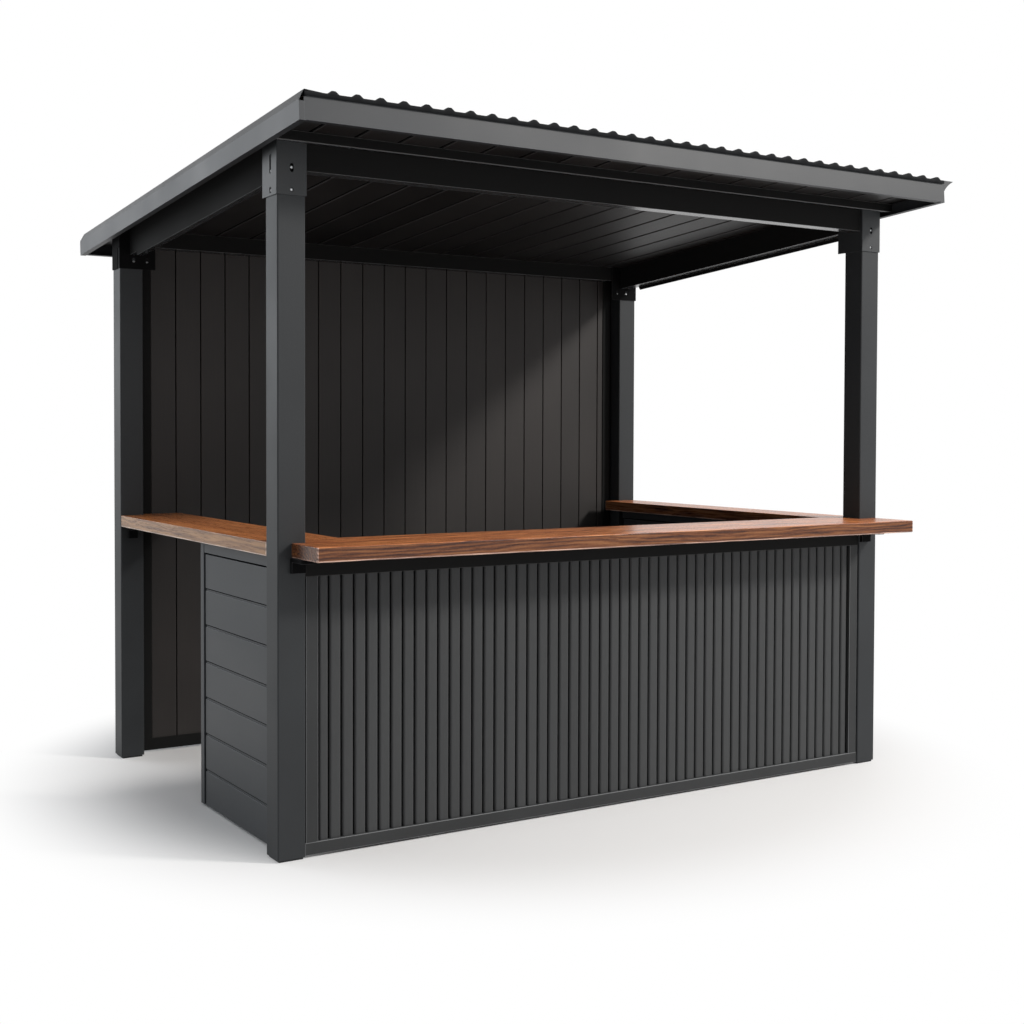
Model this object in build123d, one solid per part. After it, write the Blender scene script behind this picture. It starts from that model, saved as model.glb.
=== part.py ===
from build123d import *
import math
import os

os.makedirs("parts", exist_ok=True)

# An open-sided garden bar: four square posts, a lean-to roof that falls to the back,
# a boarded back wall, a fluted front, two boarded half-height sides and a timber counter
# that runs round three sides.
# Millimetres and degrees. While it is modelled, X runs along the bar from the outer face
# of the left posts, Y runs to the back from the front face of the front posts, and Z is up
# from the ground. At the end everything is moved so that the middle of the footprint is
# the origin.

# Posts: square tube on a welded foot
post_size = 100.0
post_wall = 3.0
post_corner_radius = 5.0
foot_height = 8.0
foot_inset = 7.0
base_plate_thickness = 5.0

# Frame plan, over the outer faces of the posts
frame_width = 2780.0
frame_depth = 1840.0

# Roof deck, which falls to the back
roof_fall = 3.8
front_overhang = 309.0
back_overhang = 315.0
side_overhang = 57.0
fascia_bottom = 2393.0
fascia_height = 87.5
fascia_thickness = 2.5
fascia_lip = 24.0
soffit_rise = 48.0
ceiling_thickness = 12.0
ceiling_board_pitch = 164.0
board_groove_width = 4.0
board_groove_depth = 3.0
batten_width = 40.0
batten_edge_gap = 60.0

# Ribbed roof sheet
sheet_thickness = 1.5
rib_pitch = 82.8
rib_height = 10.5
rib_base = 44.0
rib_crest = 18.0
sheet_front_drip = 6.0
sheet_front_apron = 13.5
sheet_first_rib = 116.0
sheet_side_gap = 4.0

# Edge trims at the two ends of the roof
trim_thickness = 2.0
left_trim_knee = 60.0
left_trim_knee_width = 4.0
left_trim_knee_height = 10.0
left_trim_shoulder = 19.0
left_trim_crown = 96.5
left_trim_cap = 68.0
left_trim_return = 18.0
left_trim_return_top = 58.0
right_trim_flare = 55.0
right_trim_start = 45.0
right_trim_hollow = 5.0
right_trim_cap = 20.0

# Beams between and behind the posts; their heights are measured down from the ceiling
beam_wall = 3.0
front_beam_height = 122.0
front_beam_depth = 60.0
front_beam_recess = 10.0
side_beam_height = 112.0
side_beam_width = 58.0
side_beam_lip = 17.0
side_beam_lip_thickness = 5.0
side_beam_lip_stop = 90.0
side_beam_lip_chamfer = 12.0
back_beam_height = 72.0
ledger_height = 36.0
ledger_depth = 22.0

# Folded plates that tie the beams to the posts; a drop is how far a plate reaches below
# its beam, and a rise is how high a slot sits over the plate's bottom
plate_thickness = 4.0
front_plate_drop = 85.0
outer_flange_reach = 18.0
inner_flange_reach = 38.0
slot_width = 13.0
front_slot_rise = 75.0
front_slot_length = 30.0
front_hole_rise = 18.0
side_slot_setback = 50.0
side_slot_rise = 73.0
side_slot_length = 64.0
side_low_slot_length = 22.0
back_plate_drop = 99.0
back_plate_ear = 55.0
back_tab_width = 78.0
back_neck_height = 90.0
back_slot_rise = 29.0

# Counters
counter_height = 1064.0
counter_thickness = 49.0
counter_edge_radius = 3.0
counter_overhang = 210.0
counter_left_setback = 48.0
front_counter_inner_edge = 145.0
left_counter_width = 285.0
right_counter_width = 190.0
post_clearance = 1.0
arm_width = 52.0
arm_length = 100.0
arm_thickness = 14.0
arm_leg = 52.0
side_arm_length = 60.0
side_arm_width = 40.0

# Panels under the counters
panel_lift = 8.0
frame_member_depth = 40.0
front_panel_recess = 6.0
stile_width = 48.0
bottom_rail_height = 44.0
top_rail_height = 66.0
flute_pitch = 47.0
flute_gap = 9.0
flute_rise = 9.0
flute_edge = 3.0
flute_backing = 7.0
flute_recess = 8.0
side_panel_recess = 40.0
side_board_pitch = 138.0
side_board_thickness = 22.0
side_board_setback = 4.0
side_board_groove = 6.0
side_top_rail_height = 43.0
side_rail_depth = 36.0
entry_trim_width = 40.0
left_panel_length = 710.0

# Back wall
wall_board_pitch = 115.8
wall_board_thickness = 18.0
wall_board_setback = 6.0
wall_recess = 30.0
wall_rail_height = 52.0
wall_stud_width = 57.0

# Values that follow from the sizes above
fall = math.radians(roof_fall)
roof_front = -front_overhang
roof_run = front_overhang + frame_depth + back_overhang
roof_length = roof_run / math.cos(fall)
roof_left = -side_overhang
roof_right = frame_width + side_overhang
deck_left = roof_left + left_trim_shoulder - trim_thickness
batten_height = fascia_height - soffit_rise - ceiling_thickness
sheet_top = fascia_height + sheet_thickness
right_post = frame_width - post_size
back_post = frame_depth - post_size
counter_underside = counter_height - counter_thickness
above_roof = fascia_bottom + 4 * fascia_height
roof_plane = Plane(
    origin=(0, roof_front, fascia_bottom),
    x_dir=(1, 0, 0),
    z_dir=(0, math.sin(fall), math.cos(fall)),
)
pieces = {}


def soffit_height(y):
    """Height of the ceiling's underside over a point of the plan."""
    start = fascia_bottom + soffit_rise / math.cos(fall)
    return start - (y - roof_front) * math.tan(fall)


front_beam_bottom = soffit_height(front_beam_recess) - front_beam_height
side_beam_bottom = soffit_height(post_size) - side_beam_height
back_beam_bottom = soffit_height(back_post) - back_beam_height
front_plate_bottom = front_beam_bottom - front_plate_drop
back_plate_bottom = back_beam_bottom - back_plate_drop


def block(x0, x1, y0, y1, z0, z1):
    """Square block between six faces."""
    middle = Pos((x0 + x1) / 2, (y0 + y1) / 2, (z0 + z1) / 2)
    return middle * Box(x1 - x0, y1 - y0, z1 - z0)


def along_x(outline, x0, x1):
    """Outline in Y and Z carried from x0 to x1."""
    points = [(x0, y, z) for y, z in outline]
    return extrude(make_face(Polyline(*points, close=True)), x1 - x0, dir=(1, 0, 0))


def along_z(outline, z0, z1):
    """Outline in X and Y carried from z0 to z1."""
    points = [(x, y, z0) for x, y in outline]
    return extrude(make_face(Polyline(*points, close=True)), z1 - z0, dir=(0, 0, 1))


def along_fall(outline, v0, v1):
    """Outline in X and height over the fascia's bottom, carried down the roof's fall."""
    points = [(x, v0, w) for x, w in outline]
    solid = extrude(make_face(Polyline(*points, close=True)), v1 - v0, dir=(0, 1, 0))
    return roof_plane * solid


def over_soffit(x0, x1, y0, y1):
    """What has to be cut away above the ceiling's underside."""
    outline = [
        (y0, soffit_height(y0)),
        (y1, soffit_height(y1)),
        (y1, above_roof),
        (y0, above_roof),
    ]
    return along_x(outline, x0, x1)


def upright_slot(centre, z0, length, width, across):
    """Round-ended upright slot through a plate; across is the axis it is cut along."""
    x, y = centre
    turn = Rot(0, 90, 0) if across == "x" else Rot(90, 0, 0)
    depth = 6 * plate_thickness
    end = turn * Cylinder(width / 2, depth)
    cut = Pos(x, y, z0 + width / 2) * end + Pos(x, y, z0 + length - width / 2) * end
    if length > width:
        if across == "x":
            bar = Box(depth, width, length - width)
        else:
            bar = Box(width, depth, length - width)
        cut += Pos(x, y, z0 + length / 2) * bar
    return cut


# Posts


def make_post(x0, y0):
    """Square tube with rounded corners, closed below by a plate on an inset foot."""
    centre = (x0 + post_size / 2, y0 + post_size / 2)
    inner_size = post_size - 2 * post_wall
    inner_radius = post_corner_radius - post_wall
    outer = RectangleRounded(post_size, post_size, post_corner_radius)
    inner = RectangleRounded(inner_size, inner_size, inner_radius)
    top = soffit_height(y0) + post_size
    tube = extrude(outer - inner, top - foot_height)
    plate = extrude(outer, base_plate_thickness)
    foot_size = post_size - 2 * foot_inset
    foot = Pos(0, 0, -foot_height / 2) * Box(foot_size, foot_size, foot_height)
    post = Pos(centre[0], centre[1], foot_height) * (tube + plate + foot)
    reach = post_size / 2
    cut = over_soffit(x0 - reach, x0 + post_size + reach, y0 - reach, y0 + post_size + reach)
    return post - cut


pieces["post_front_left"] = make_post(0, 0)
pieces["post_front_right"] = make_post(right_post, 0)
pieces["post_back_left"] = make_post(0, back_post)
pieces["post_back_right"] = make_post(right_post, back_post)


# Folded plates at the post heads


def make_front_plate():
    """Channel folded round the front left post, with two reaches past its back face."""
    t = plate_thickness
    z0 = front_plate_bottom
    outer_end = post_size + outer_flange_reach
    inner_end = post_size + inner_flange_reach
    plate = block(-t, post_size + t, -t, 0, z0, above_roof)
    plate += block(-t, 0, -t, outer_end, z0, above_roof)
    plate += block(post_size, post_size + t, -t, inner_end, z0, above_roof)
    folds = plate.edges().filter_by(Axis.Z).group_by(Axis.Y)[0]
    plate = fillet(folds, t * 0.9)
    middle = post_size / 2
    hole = z0 + front_hole_rise
    high = z0 + side_slot_rise
    low = hole - side_low_slot_length / 2
    plate -= upright_slot((middle, 0), z0 + front_slot_rise, front_slot_length, slot_width, "y")
    plate -= upright_slot((middle, 0), hole - slot_width / 2, slot_width, slot_width, "y")
    plate -= upright_slot((-t, side_slot_setback), high, side_slot_length, slot_width, "x")
    plate -= upright_slot((-t, side_slot_setback), low, side_low_slot_length, slot_width, "x")
    return plate - over_soffit(-post_size, 2 * post_size, -post_size, 2 * post_size)


def make_back_plate():
    """Plate on the back left post's face with an ear on the beam and a tab outside."""
    t = plate_thickness
    z0 = back_plate_bottom
    face = back_post
    plate = block(-t, post_size + back_plate_ear, face - t, face, z0, above_roof)
    tab_start = frame_depth - back_tab_width
    plate += block(-t, 0, tab_start, frame_depth, z0, above_roof)
    plate += block(-t, 0, face - t, tab_start, z0 + back_neck_height, above_roof)
    for x in (post_size * 0.6, post_size + back_plate_ear / 3):
        plate -= upright_slot((x, face), z0 + back_slot_rise, slot_width * 1.5, slot_width, "y")
    y0 = face - post_size
    return plate - over_soffit(-post_size, 3 * post_size, y0, frame_depth + post_size)


def mirrored(shape):
    """The same piece for the other end of the bar."""
    middle = Plane(origin=(frame_width / 2, 0, 0), x_dir=(0, 1, 0), z_dir=(1, 0, 0))
    return mirror(shape, about=middle)


pieces["plate_front_left"] = make_front_plate()
pieces["plate_front_right"] = mirrored(pieces["plate_front_left"])
pieces["plate_back_left"] = make_back_plate()
pieces["plate_back_right"] = mirrored(pieces["plate_back_left"])


# Beams


def make_front_beam():
    """Box beam between the front posts, its top cut to the fall of the roof."""
    y0 = front_beam_recess
    y1 = y0 + front_beam_depth
    z0 = front_beam_bottom
    w = beam_wall
    outer = [(y0, z0), (y1, z0), (y1, soffit_height(y1)), (y0, soffit_height(y0))]
    inner = [
        (y0 + w, z0 + w),
        (y1 - w, z0 + w),
        (y1 - w, soffit_height(y1 - w) - w),
        (y0 + w, soffit_height(y0 + w) - w),
    ]
    x0 = post_size + plate_thickness
    x1 = frame_width - x0
    return along_x(outer, x0, x1) - along_x(inner, x0, x1)


def make_back_beam():
    """Box beam over the back wall, flush with the back posts' front faces."""
    y0 = back_post
    y1 = frame_depth - wall_recess
    z0 = back_beam_bottom
    w = beam_wall
    outer = [(y0, z0), (y1, z0), (y1, soffit_height(y1)), (y0, soffit_height(y0))]
    inner = [
        (y0 + w, z0 + w),
        (y1 - w, z0 + w),
        (y1 - w, soffit_height(y1 - w) - w),
        (y0 + w, soffit_height(y0 + w) - w),
    ]
    return along_x(outer, post_size, right_post) - along_x(inner, post_size, right_post)


def make_side_beam():
    """Left beam: a box that follows the fall, with a lip hung on its outer side."""
    y0 = post_size
    y1 = back_post - plate_thickness
    w = beam_wall
    drop = math.tan(fall)
    x1 = post_size
    x0 = x1 - side_beam_width
    low = side_beam_bottom

    def bottom(y):
        return low - (y - y0) * drop

    outer = [(y0, bottom(y0)), (y1, bottom(y1)), (y1, soffit_height(y1)), (y0, soffit_height(y0))]
    inner = [
        (y0, bottom(y0) + w),
        (y1, bottom(y1) + w),
        (y1, soffit_height(y1) - w),
        (y0, soffit_height(y0) - w),
    ]
    beam = along_x(outer, x0, x1) - along_x(inner, x0 + w, x1 - w)
    end = y1 - side_beam_lip_stop
    tip = end - side_beam_lip_chamfer
    lip = [
        (y0, bottom(y0)),
        (end, bottom(end)),
        (tip, bottom(tip) - side_beam_lip),
        (y0, bottom(y0) - side_beam_lip),
    ]
    return beam + along_x(lip, x0, x0 + side_beam_lip_thickness)


def make_ledger():
    """Rail under the eaves that passes in front of the posts from trim to trim."""
    y1 = -plate_thickness
    y0 = y1 - ledger_depth
    z0 = soffit_height(y0) - ledger_height
    outline = [(y0, z0), (y1, z0), (y1, soffit_height(y1)), (y0, soffit_height(y0))]
    return along_x(outline, roof_left + trim_thickness, roof_right - trim_thickness)


pieces["front_beam"] = make_front_beam()
pieces["back_beam"] = make_back_beam()
pieces["left_beam"] = make_side_beam()
pieces["right_beam"] = mirrored(pieces["left_beam"])
pieces["eaves_ledger"] = make_ledger()


# Roof


def grooved_outline(start, end, pitch, face, groove_width, groove_depth, first=None):
    """Face line with a V groove at each board joint, from start to end."""
    points = [(start, face)]
    joint = start + pitch if first is None else first
    while joint < end - pitch / 4:
        points.append((joint - groove_width / 2, face))
        points.append((joint, face + groove_depth))
        points.append((joint + groove_width / 2, face))
        joint += pitch
    points.append((end, face))
    return points


def make_ceiling():
    """Boarded ceiling, grooved below at each joint, that also makes the eaves' soffit."""
    x0 = roof_left + trim_thickness
    x1 = roof_right - trim_thickness
    low = grooved_outline(
        x0, x1, ceiling_board_pitch, soffit_rise, board_groove_width, board_groove_depth
    )
    high = soffit_rise + ceiling_thickness
    outline = low + [(x1, high), (x0, high)]
    return along_fall(outline, fascia_thickness, roof_length - fascia_thickness)


def make_batten(centre):
    """Flat batten between the ceiling and the sheet."""
    x0 = deck_left
    x1 = roof_right - trim_thickness
    low = soffit_rise + ceiling_thickness
    outline = [(x0, low), (x1, low), (x1, low + batten_height), (x0, low + batten_height)]
    return along_fall(outline, centre - batten_width / 2, centre + batten_width / 2)


def make_roof_sheet():
    """Profiled sheet: ribs that run down the fall, with the front edge closed and turned down."""
    x0 = deck_left
    x1 = roof_right - sheet_side_gap
    low = fascia_height
    top = [(x0, low)]
    rib = roof_left + sheet_first_rib
    while rib + rib_base / 2 < x1 - right_trim_cap / 2:
        top.append((rib - rib_base / 2, low))
        top.append((rib - rib_crest / 2, low + rib_height))
        top.append((rib + rib_crest / 2, low + rib_height))
        top.append((rib + rib_base / 2, low))
        rib += rib_pitch
    top.append((x1, low))
    upper = [(x, w + sheet_thickness) for x, w in top]
    outline = upper + top[::-1]
    sheet = along_fall(outline, -sheet_front_drip, roof_length)
    hem = low + sheet_thickness - sheet_front_apron
    end = upper + [(x1, hem), (x0, hem)]
    apron = along_fall(end, -sheet_front_drip, sheet_thickness - sheet_front_drip)
    return sheet + apron


def make_front_fascia():
    """Folded fascia: an upright face with a lip turned in below and above."""
    t = fascia_thickness
    x0 = deck_left
    x1 = roof_right - trim_thickness
    h = fascia_height
    face = block(x0, x1, 0, t, 0, h)
    face += block(x0, x1, 0, fascia_lip, 0, t)
    face += block(x0, x1, 0, fascia_lip, h - t, h)
    return roof_plane * face


def make_back_fascia():
    """The same fascia at the low side."""
    t = fascia_thickness
    x0 = deck_left
    x1 = roof_right - trim_thickness
    h = fascia_height
    face = block(x0, x1, roof_length - t, roof_length, 0, h)
    face += block(x0, x1, roof_length - fascia_lip, roof_length, 0, t)
    face += block(x0, x1, roof_length - fascia_lip, roof_length, h - t, h)
    return roof_plane * face


def trim_band(path, v0, v1):
    """Thin sheet that follows a path of lines and arcs across the roof's end."""
    face = make_face(path)
    return roof_plane * extrude(face, v1 - v0, dir=(0, 1, 0))


def make_left_trim():
    """End trim with a sloped shoulder and a cap that runs down to the sheet."""
    t = trim_thickness
    x = roof_left
    crown = left_trim_crown
    knee = left_trim_knee
    knee_x = x + left_trim_knee_width
    knee_top = knee + left_trim_knee_height
    peak_x = x + left_trim_shoulder
    land_x = peak_x + left_trim_cap
    land_w = sheet_top
    lip = x + fascia_lip
    outer = [
        (lip, -t),
        (x, -t),
        (x, knee),
        (x + left_trim_knee_width / 4, knee + left_trim_knee_height / 2),
        (knee_x, knee_top),
        (peak_x, crown),
        (land_x, land_w + t),
    ]
    inner = [
        (land_x, land_w),
        (peak_x, crown - t),
        (knee_x + t, knee_top - t / 2),
        (x + left_trim_knee_width / 4 + t, knee + left_trim_knee_height / 2),
        (x + t, knee),
        (x + t, 0),
        (lip, 0),
    ]
    trim = along_fall(outer + inner, 0, roof_length)
    flap = block(x, x + left_trim_return, -t, 0, -t, left_trim_return_top)
    return trim + roof_plane * flap


def make_right_trim():
    """End trim whose top sweeps out in a hollow curve to a drip edge."""
    t = trim_thickness
    x = roof_right
    tip_x = x + right_trim_flare
    top_w = sheet_top + t
    start = right_trim_start
    land_x = x - right_trim_cap
    lip = x - fascia_lip
    middle = (
        (x + tip_x) / 2 - right_trim_hollow * math.sin(math.pi / 4),
        0,
        (start + sheet_top) / 2 + right_trim_hollow * math.cos(math.pi / 4),
    )
    outer = [
        Line((lip, 0, -t), (x, 0, -t)),
        Line((x, 0, -t), (x, 0, start)),
        ThreePointArc((x, 0, start), middle, (tip_x, 0, sheet_top)),
        Line((tip_x, 0, sheet_top), (tip_x, 0, top_w)),
        Line((tip_x, 0, top_w), (land_x, 0, top_w)),
        Line((land_x, 0, top_w), (land_x, 0, sheet_top)),
        Line((land_x, 0, sheet_top), (x - t, 0, sheet_top)),
        Line((x - t, 0, sheet_top), (x - t, 0, 0)),
        Line((x - t, 0, 0), (lip, 0, 0)),
        Line((lip, 0, 0), (lip, 0, -t)),
    ]
    return trim_band(outer, 0, roof_length)


pieces["ceiling_boards"] = make_ceiling()
front_batten = batten_edge_gap
back_batten = roof_length - batten_edge_gap
pieces["roof_batten_front"] = make_batten(front_batten)
pieces["roof_batten_middle"] = make_batten((front_batten + back_batten) / 2)
pieces["roof_batten_back"] = make_batten(back_batten)
pieces["roof_sheet"] = make_roof_sheet()
pieces["front_fascia"] = make_front_fascia()
pieces["back_fascia"] = make_back_fascia()
pieces["left_roof_trim"] = make_left_trim()
pieces["right_roof_trim"] = make_right_trim()


# Front panel


def make_fluted_panel():
    """Upright flutes with chamfered edges on a thin backing."""
    x0 = post_size + stile_width
    x1 = frame_width - x0
    z0 = panel_lift + bottom_rail_height
    z1 = counter_underside - top_rail_height
    front = front_panel_recess + flute_recess
    root = front + flute_rise
    back = root + flute_backing
    count = round((x1 - x0 + flute_gap) / flute_pitch)
    step = (x1 - x0 + flute_gap) / count
    outline = []
    for i in range(count):
        left = x0 + i * step
        right = left + step - flute_gap
        if i > 0:
            outline.append((left, root))
        outline.append((left, front + flute_edge))
        outline.append((left + flute_edge, front))
        outline.append((right - flute_edge, front))
        outline.append((right, front + flute_edge))
        if i < count - 1:
            outline.append((right, root))
    outline.append((x1, back))
    outline.append((x0, back))
    return along_z(outline, z0, z1)


front_face = front_panel_recess
front_back = front_face + frame_member_depth
pieces["front_bottom_rail"] = block(
    post_size, right_post, front_face, front_back, panel_lift, panel_lift + bottom_rail_height
)
pieces["front_top_rail"] = block(
    post_size, right_post, front_face, front_back, counter_underside - top_rail_height, counter_underside
)
stile_low = panel_lift + bottom_rail_height
stile_high = counter_underside - top_rail_height
pieces["front_left_stile"] = block(
    post_size, post_size + stile_width, front_face, front_back, stile_low, stile_high
)
pieces["front_right_stile"] = mirrored(pieces["front_left_stile"])
pieces["front_fluted_panel"] = make_fluted_panel()


# Side panels


def make_side_boards(y0, y1):
    """Level boards with an open joint line between them, on the left side."""
    x0 = side_panel_recess + side_board_setback
    x1 = x0 + side_board_thickness
    top = counter_underside - side_top_rail_height
    outline = [(x0, top)]
    joint = top - side_board_pitch
    g = side_board_groove
    while joint > panel_lift + side_board_pitch / 4:
        outline.append((x0, joint + g))
        outline.append((x0 + g, joint + g * 0.6))
        outline.append((x0 + g, joint))
        outline.append((x0, joint))
        joint -= side_board_pitch
    outline.append((x0, panel_lift))
    outline.append((x1, panel_lift))
    outline.append((x1, top))
    points = [(x, y0, z) for x, z in outline]
    return extrude(make_face(Polyline(*points, close=True)), y1 - y0, dir=(0, 1, 0))


def make_side_rail(y0, y1):
    """Plain rail on top of the boards."""
    x0 = side_panel_recess
    low = counter_underside - side_top_rail_height
    return block(x0, x0 + side_rail_depth, y0, y1, low, counter_underside)


def make_entry_trim(y0):
    """Channel that closes the end of the boards beside the entry."""
    x0 = side_panel_recess
    x1 = x0 + side_rail_depth
    return block(x0, x1, y0, y0 + entry_trim_width, panel_lift, counter_underside)


board_end = post_size + left_panel_length
pieces["left_side_boards"] = make_side_boards(post_size, board_end)
pieces["left_side_rail"] = make_side_rail(post_size, board_end)
pieces["left_entry_trim"] = make_entry_trim(board_end)
pieces["right_side_boards"] = mirrored(make_side_boards(post_size, back_post))
pieces["right_side_rail"] = mirrored(make_side_rail(post_size, back_post))


# Back wall

wall_front = frame_depth - wall_recess


def make_wall_boards():
    """Upright boards with grooved joints, from the ground rail up to the ceiling."""
    x0 = post_size
    x1 = right_post
    face = wall_front + wall_board_setback
    back = face + wall_board_thickness
    first = post_size + wall_stud_width + wall_board_pitch
    front_line = grooved_outline(
        x0, x1, wall_board_pitch, face, board_groove_width, board_groove_depth, first
    )
    back_line = grooved_outline(
        x0, x1, wall_board_pitch, back, board_groove_width, -board_groove_depth, first
    )
    outline = front_line + back_line[::-1]
    boards = along_z(outline, panel_lift, above_roof)
    return boards - over_soffit(0, frame_width, back_post, frame_depth + post_size)


def make_wall_stud():
    """Upright strip that covers the boards' end beside the back left post."""
    x1 = post_size + wall_stud_width
    low = panel_lift + wall_rail_height
    return block(
        post_size, x1, wall_front, wall_front + wall_board_setback, low, back_beam_bottom
    )


pieces["back_wall_boards"] = make_wall_boards()
pieces["back_bottom_rail"] = block(
    post_size,
    right_post,
    wall_front,
    wall_front + wall_board_setback,
    panel_lift,
    panel_lift + wall_rail_height,
)
pieces["back_left_stud"] = make_wall_stud()
pieces["back_right_stud"] = mirrored(pieces["back_left_stud"])


# Counters


def ease_top(solid):
    """Rounded arris round the top of a counter."""
    return fillet(solid.faces().sort_by(Axis.Z)[-1].edges(), counter_edge_radius)


def make_front_counter():
    """Wide serving top, cut round the two front posts."""
    gap = post_clearance
    front = -counter_overhang
    behind = post_size + gap
    inner = front_counter_inner_edge
    left = counter_left_setback
    left_inner = left_counter_width
    right_inner = frame_width - right_counter_width
    outline = [
        (left, front),
        (frame_width, front),
        (frame_width, -gap),
        (right_post - gap, -gap),
        (right_post - gap, behind),
        (right_inner, behind),
        (right_inner, inner),
        (left_inner, inner),
        (left_inner, behind),
        (post_size + gap, behind),
        (post_size + gap, -gap),
        (left, -gap),
    ]
    return ease_top(along_z(outline, counter_underside, counter_height))


def make_left_counter():
    """Side top that bridges the entry and is cut round the back post."""
    gap = post_clearance
    outline = [
        (0, post_size + gap),
        (left_counter_width, post_size + gap),
        (left_counter_width, wall_front - gap),
        (post_size + gap, wall_front - gap),
        (post_size + gap, back_post - gap),
        (0, back_post - gap),
    ]
    return ease_top(along_z(outline, counter_underside, counter_height))


def make_right_counter():
    """Side top between the two right posts."""
    gap = post_clearance
    top = block(
        frame_width - right_counter_width,
        frame_width,
        post_size + gap,
        back_post - gap,
        counter_underside,
        counter_height,
    )
    return ease_top(top)


def make_arm(width, length, leg):
    """Angle bracket at the origin: a leg down the post and an arm under the counter."""
    t = arm_thickness
    arm = Pos(0, -length / 2, -t / 2) * Box(width, length, t)
    tip = arm.edges().filter_by(Axis.Z).group_by(Axis.Y)[0]
    arm = fillet(tip, width / 3)
    upright = Pos(0, -t / 2, -leg / 2) * Box(width, t, leg)
    return arm + upright


pieces["front_counter"] = make_front_counter()
pieces["left_counter"] = make_left_counter()
pieces["right_counter"] = make_right_counter()
front_arm = make_arm(arm_width, arm_length, arm_leg)
side_arm = make_arm(side_arm_width, side_arm_length, arm_leg)
arm_centre = post_size / 2 + (counter_left_setback - foot_inset) / 2
left_arm = Pos(arm_centre, 0, counter_underside) * front_arm
pieces["front_counter_arm_left"] = left_arm
pieces["front_counter_arm_right"] = mirrored(left_arm)
back_arm = Pos(post_size / 2, back_post, counter_underside) * side_arm
pieces["side_counter_arm"] = back_arm


# The middle of the footprint becomes the origin, and each piece is written


def main():
    boxes = [piece.bounding_box() for piece in pieces.values()]
    x0 = min(box.min.X for box in boxes)
    x1 = max(box.max.X for box in boxes)
    y0 = min(box.min.Y for box in boxes)
    y1 = max(box.max.Y for box in boxes)
    shift = Pos(-(x0 + x1) / 2, -(y0 + y1) / 2, 0)
    print("origin in the modelling frame", (x0 + x1) / 2, (y0 + y1) / 2)
    for name, piece in pieces.items():
        solids = piece.solids()
        shape = solids[0] if len(solids) == 1 else Compound(children=list(solids))
        export_step(shift * shape, "parts/" + name + ".step")


main()
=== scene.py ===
"""Finish of a garden bar gazebo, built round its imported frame: charcoal powder coat on the steel,
boarded wall, ceiling and sides, a ribbed roof sheet, bolts and oiled hardwood counters."""

import math

import bmesh
import bpy
from bpy.props import FloatProperty, FloatVectorProperty, IntProperty, PointerProperty
from bpy.types import NodeSocket, Operator, Panel, PropertyGroup
from mathutils import Euler, Matrix, Vector


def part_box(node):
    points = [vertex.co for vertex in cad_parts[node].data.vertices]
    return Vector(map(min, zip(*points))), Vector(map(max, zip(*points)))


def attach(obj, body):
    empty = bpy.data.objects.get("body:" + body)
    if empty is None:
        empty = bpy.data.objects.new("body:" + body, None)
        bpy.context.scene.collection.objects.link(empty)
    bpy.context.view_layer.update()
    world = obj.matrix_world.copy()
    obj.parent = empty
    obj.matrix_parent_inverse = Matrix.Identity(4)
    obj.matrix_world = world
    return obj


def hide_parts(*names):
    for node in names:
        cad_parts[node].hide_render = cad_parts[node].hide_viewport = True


bl_info = {
    "name": "Garden Bar Gazebo",
    "version": (1, 0, 0),
    "blender": (4, 5, 0),
    "location": "View3D > Sidebar > Garden Bar",
    "description": "Boards, ribbed roof, bolts, powder coat and oiled counters for a garden bar",
    "category": "Object",
}

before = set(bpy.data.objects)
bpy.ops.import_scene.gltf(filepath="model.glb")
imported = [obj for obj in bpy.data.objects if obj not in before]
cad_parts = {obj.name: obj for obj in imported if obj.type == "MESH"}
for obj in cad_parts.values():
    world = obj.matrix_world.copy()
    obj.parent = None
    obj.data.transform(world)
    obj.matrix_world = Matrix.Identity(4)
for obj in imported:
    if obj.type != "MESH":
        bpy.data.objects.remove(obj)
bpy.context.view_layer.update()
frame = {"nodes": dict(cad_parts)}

# The fascia's height, square to the roof
ROOF_FASCIA_HEIGHT = 0.0875
# An edge is sharp over this angle, and points closer than this distance are one
SHARP_ANGLE = math.radians(40)
WELD = 0.00001
BATTENS = ("roof_batten_front", "roof_batten_middle", "roof_batten_back")


def roof_fall():
    """Angle at which the roof falls to the back, read from the flat top of the ceiling."""
    faces = frame["nodes"]["ceiling_boards"].data.polygons
    top = max(faces, key=lambda face: face.area)
    return math.atan2(abs(top.normal.y), abs(top.normal.z))


FALL = roof_fall()
EAVE_LOW, EAVE_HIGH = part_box("front_fascia")
BACK_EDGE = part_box("back_fascia")[1].y
ROOF_LENGTH = (BACK_EDGE - EAVE_LOW.y - ROOF_FASCIA_HEIGHT * math.sin(FALL)) / math.cos(FALL)
# The roof's own axes: x along the bar, y down the fall, z square to the deck from the fascia's bottom
ROOF = Matrix.Translation((0, EAVE_LOW.y, EAVE_HIGH.z - ROOF_FASCIA_HEIGHT * math.cos(FALL)))
ROOF = ROOF @ Matrix.Rotation(-FALL, 4, "X")


# Settings


def linear(code):
    """Linear colour from an sRGB hex code."""
    parts = [int(code[i : i + 2], 16) / 255 for i in (1, 3, 5)]
    return [c / 12.92 if c <= 0.04045 else ((c + 0.055) / 1.055) ** 2.4 for c in parts]


def length(name, default, description):
    """Length in metres that the sidebar shows."""
    return FloatProperty(
        name=name, default=default, description=description, min=0.0, subtype="DISTANCE", precision=4
    )


def amount(name, default, description):
    """Plain number from 0 up that the sidebar shows."""
    return FloatProperty(name=name, default=default, description=description, min=0.0)


def angle(name, degrees, description):
    """Angle in degrees that the sidebar shows."""
    return FloatProperty(
        name=name, default=math.radians(degrees), description=description, subtype="ANGLE"
    )


def colour(name, code, description):
    """Colour that the sidebar shows, from an sRGB hex code."""
    return FloatVectorProperty(
        name=name, default=linear(code), description=description, subtype="COLOR", min=0.0, max=1.0
    )


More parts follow.
